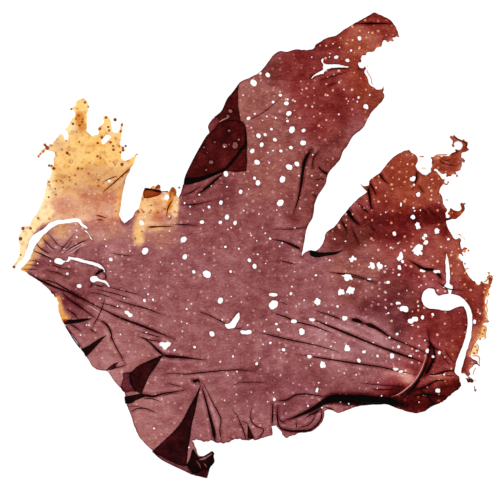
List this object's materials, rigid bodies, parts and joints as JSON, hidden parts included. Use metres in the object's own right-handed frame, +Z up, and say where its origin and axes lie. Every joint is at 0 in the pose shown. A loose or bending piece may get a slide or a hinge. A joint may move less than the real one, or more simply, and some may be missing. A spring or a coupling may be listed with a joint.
{
  "type": "laver seaweed blade",
  "caption": "Raw blade of laver, the red seaweed pressed into nori: a thin lobed membrane, ruffled, torn, pierced and partly folded over, lying flat.",
  "frame": {"origin": "under the middle of the blade's bounding box, on the surface that it lies on", "axes": "+Z up, out of the blade's upper face; +Y towards the tip of the upper lobe; +X towards the torn right lobe"},
  "size_m": [0.182, 0.177, 0.005],
  "materials": {
    "laver_membrane": "dried laver membrane, satin"
  },
  "bodies": {
    "root": {"blade": "laver_membrane"}
  },
  "joints": []
}
